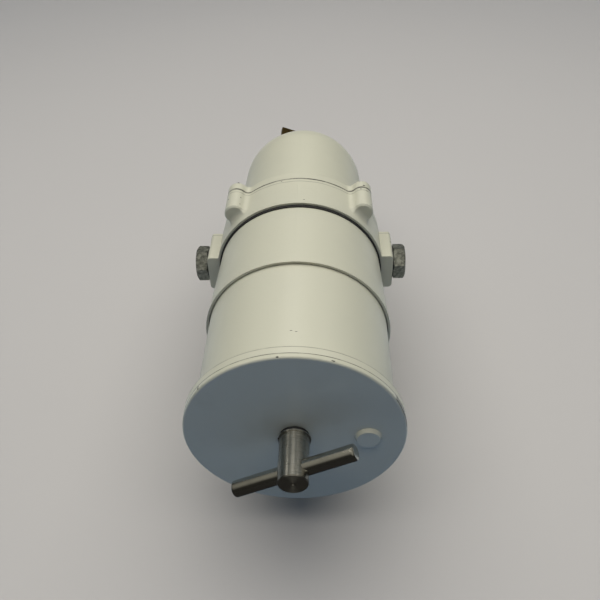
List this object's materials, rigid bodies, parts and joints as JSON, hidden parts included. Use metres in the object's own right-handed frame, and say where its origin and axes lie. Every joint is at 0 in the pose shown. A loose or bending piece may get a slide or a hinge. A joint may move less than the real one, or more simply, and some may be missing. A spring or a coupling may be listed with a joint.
{
  "type": "fuel filter water separator",
  "caption": "Marine turbine fuel filter and water separator with metal bowl, T-handle lid, plugged side ports, winged drain key and folded wall bracket, lying on its bracket.",
  "frame": {"origin": "centre of the bracket's bolt pattern, on the back plane that goes against the wall", "axes": "+Y along the filter axis towards the bowl and its drain, +X towards the outlet port, +Z away from the wall"},
  "size_m": [0.1738, 0.4435, 0.1779],
  "materials": {
    "painted_steel": "semi-gloss off-white enamel",
    "painted_casting": "semi-gloss off-white enamel over a casting",
    "bright_steel": "turned bright steel",
    "zinc_steel": "dull zinc plate",
    "black_rubber": "matte",
    "filter_paper": "resin-treated pleated paper",
    "black_plastic": "moulded",
    "pale_plastic": "moulded",
    "bare_aluminium": "mill finish",
    "drain_brass": "dull cast brass"
  },
  "bodies": {
    "filter": {"canister_tube": "painted_steel", "housing": "painted_steel", "bracket": "painted_steel", "bowl_bolts": "painted_steel", "bowl_bolt_washers": "painted_steel", "lid": "painted_casting", "head": "painted_casting", "bowl": "painted_casting", "port_plug_left": "zinc_steel", "port_plug_right": "zinc_steel", "bracket_bolts": "zinc_steel", "bracket_washers": "zinc_steel", "baffle_bolt": "zinc_steel", "baffle_washer": "zinc_steel", "lid_gasket": "black_rubber", "tube_gasket": "black_rubber", "housing_gasket": "black_rubber", "bowl_gasket": "black_rubber", "port_ring_left": "black_rubber", "port_ring_right": "black_rubber", "element_top_grommet": "black_rubber", "element_bottom_grommet": "black_rubber", "element_media": "filter_paper", "element_top_cap": "black_plastic", "element_bottom_cap": "black_plastic", "turbine": "black_plastic", "conical_baffle": "black_plastic", "ball_seat": "black_plastic", "ball_retainer": "black_plastic", "return_tube": "bare_aluminium", "drain_body": "drain_brass"},
    "handle_slider": {"handle_washer": "black_rubber"},
    "handle_rotor": {"handle_spindle": "bright_steel", "handle_bar": "bright_steel", "spindle_clip": "zinc_steel"},
    "drain_slider": {"drain_ring": "black_rubber"},
    "drain_rotor": {"drain_key": "drain_brass"},
    "ball": {"check_ball": "pale_plastic"}
  },
  "joints": [
    {"name": "handle_travel", "type": "slide", "parent": "filter", "child": "handle_slider", "axis": [0, -1, 0], "range_m": [0, 0.00832]},
    {"name": "handle_turn", "type": "hinge", "parent": "handle_slider", "child": "handle_rotor", "pos_m": [0, -0.2097, 0.1055], "axis": [0, -1, 0], "range_deg": [0, 1710]},
    {"name": "drain_travel", "type": "slide", "parent": "filter", "child": "drain_slider", "axis": [0, 1, 0], "range_m": [0, 0.00301]},
    {"name": "drain_turn", "type": "hinge", "parent": "drain_slider", "child": "drain_rotor", "pos_m": [0, 0.21, 0.1055], "axis": [0, 1, 0], "range_deg": [0, 720]},
    {"name": "ball_float", "type": "slide", "parent": "filter", "child": "ball", "axis": [0, -1, 0], "range_m": [0, 0.0083]}
  ],
  "couplings": [
    {"joint": "handle_travel", "follows": "handle_turn", "m_per_rad": 0.00027852},
    {"joint": "drain_travel", "follows": "drain_turn", "m_per_rad": 0.00023873}
  ]
}
